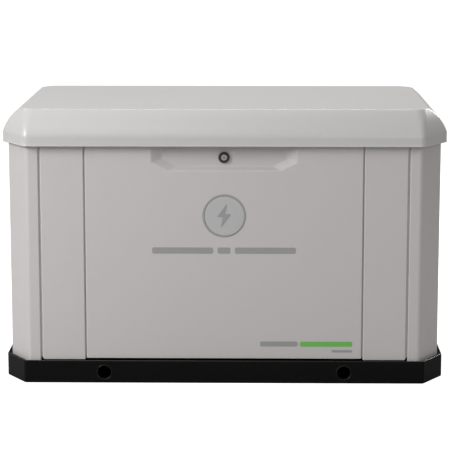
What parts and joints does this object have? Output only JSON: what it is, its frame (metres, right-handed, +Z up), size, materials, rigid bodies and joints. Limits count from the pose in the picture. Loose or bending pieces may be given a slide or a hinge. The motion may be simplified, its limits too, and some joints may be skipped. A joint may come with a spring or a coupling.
{
  "type": "home standby generator",
  "caption": "Floor-standing gas standby generator in a ventilated steel cabinet with a hinged roof, a tilting lift-off front door and a black moulded base.",
  "frame": {"origin": "middle of the underside of the base", "axes": "+Z up, +X to the right seen from the front, the door faces -Y"},
  "size_m": [1.239, 0.771, 0.764],
  "materials": {
    "cabinet_paint": "warm light grey, semi-gloss powder coat",
    "lid_paint": "warm light grey, semi-gloss powder coat",
    "base_black": "black moulded base, satin",
    "zinc_steel": "zinc-plated steel",
    "black_plastic": "black moulded plastic",
    "lock_chrome": "plated lock core",
    "cast_aluminium": "sand-cast aluminium",
    "engine_black": "satin black engine enamel",
    "black_rubber": "black rubber",
    "ground_steel": "ground steel",
    "aluminised_steel": "aluminised steel, slightly heat-tinted",
    "dipstick_yellow": "yellow plastic",
    "filter_white": "white enamel",
    "lead_red": "red insulation",
    "lead_black": "black insulation",
    "battery_case": "black polypropylene",
    "grey_plastic": "dark grey plastic",
    "key_grey": "grey silicone key"
  },
  "bodies": {
    "cabinet": {"air_cleaner": "black_plastic", "alternator_end_bracket": "cast_aluminium", "base_pan": "base_black", "battery": "battery_case", "battery_lead_negative": "lead_black", "battery_lead_positive": "lead_red", "blower_housing": "engine_black", "control_box": "grey_plastic", "corner_post_front_left": "cabinet_paint", "corner_post_front_right": "cabinet_paint", "corner_post_rear_left": "cabinet_paint", "corner_post_rear_right": "cabinet_paint", "crankcase": "cast_aluminium", "cylinder_front": "cast_aluminium", "cylinder_head_front": "cast_aluminium", "cylinder_head_rear": "cast_aluminium", "cylinder_rear": "cast_aluminium", "dipstick_tube": "engine_black", "engine_cradle": "engine_black", "exhaust_bulkhead": "zinc_steel", "exhaust_pipe_front": "aluminised_steel", "exhaust_pipe_rear": "aluminised_steel", "front_strip_left": "cabinet_paint", "front_strip_right": "cabinet_paint", "fuel_hose": "black_rubber", "fuel_inlet": "zinc_steel", "fuel_mixer": "cast_aluminium", "fuel_regulator": "cast_aluminium", "header_frame": "zinc_steel", "hinge_leaf_cabinet_left": "zinc_steel", "hinge_leaf_cabinet_right": "zinc_steel", "hinge_pin_left": "ground_steel", "hinge_pin_right": "ground_steel", "lid_gasket": "black_rubber", "muffler": "aluminised_steel", "oil_filter": "filter_white", "rear_panel": "cabinet_paint", "side_panel_left": "cabinet_paint", "side_panel_right": "cabinet_paint", "starter_motor": "engine_black", "stator_housing": "engine_black", "vibration_mount_front_left": "black_rubber", "vibration_mount_front_right": "black_rubber", "vibration_mount_rear_left": "black_rubber", "vibration_mount_rear_right": "black_rubber"},
    "lid": {"lid_shell": "lid_paint", "hinge_leaf_lid_left": "zinc_steel", "hinge_leaf_lid_right": "zinc_steel"},
    "door": {"front_door": "cabinet_paint", "lock_ring": "black_plastic"},
    "lock": {"lock_cylinder": "lock_chrome", "lock_cam": "zinc_steel"},
    "crank": {"crankshaft": "ground_steel", "flywheel_fan": "engine_black", "rotor": "ground_steel"},
    "dipstick": {"dipstick": "dipstick_yellow"},
    "key_auto": {"key_auto": "key_grey"},
    "key_off": {"key_off": "key_grey"},
    "key_manual": {"key_manual": "key_grey"},
    "breaker_lever": {"breaker_lever": "filter_white"}
  },
  "joints": [
    {"name": "lid_hinge", "type": "hinge", "parent": "cabinet", "child": "lid", "pos_m": [0, 0.3728, 0.66], "axis": [-1, 0, 0], "range_deg": [0, 95]},
    {"name": "door_tilt", "type": "hinge", "parent": "cabinet", "child": "door", "pos_m": [0, -0.3655, 0.0715], "axis": [1, 0, 0], "range_deg": [0, 25]},
    {"name": "lock_turn", "type": "hinge", "parent": "door", "child": "lock", "pos_m": [0, -0.351, 0.6334], "axis": [0, -1, 0], "range_deg": [0, 90]},
    {"name": "crank_spin", "type": "hinge", "parent": "cabinet", "child": "crank", "pos_m": [0, 0.02, 0.2563], "axis": [1, 0, 0], "continuous": true},
    {"name": "dipstick_pull", "type": "slide", "parent": "cabinet", "child": "dipstick", "axis": [0, 0, 1], "range_m": [0, 0.19]},
    {"name": "breaker_throw", "type": "hinge", "parent": "cabinet", "child": "breaker_lever", "pos_m": [0.51, -0.065, 0.624], "axis": [-1, 0, 0], "range_deg": [0, 55]},
    {"name": "key_auto_press", "type": "slide", "parent": "cabinet", "child": "key_auto", "axis": [0, 0, -1], "range_m": [0, 0.0015], "stiffness_N_per_m": 600},
    {"name": "key_off_press", "type": "slide", "parent": "cabinet", "child": "key_off", "axis": [0, 0, -1], "range_m": [0, 0.0015], "stiffness_N_per_m": 600},
    {"name": "key_manual_press", "type": "slide", "parent": "cabinet", "child": "key_manual", "axis": [0, 0, -1], "range_m": [0, 0.0015], "stiffness_N_per_m": 600}
  ]
}
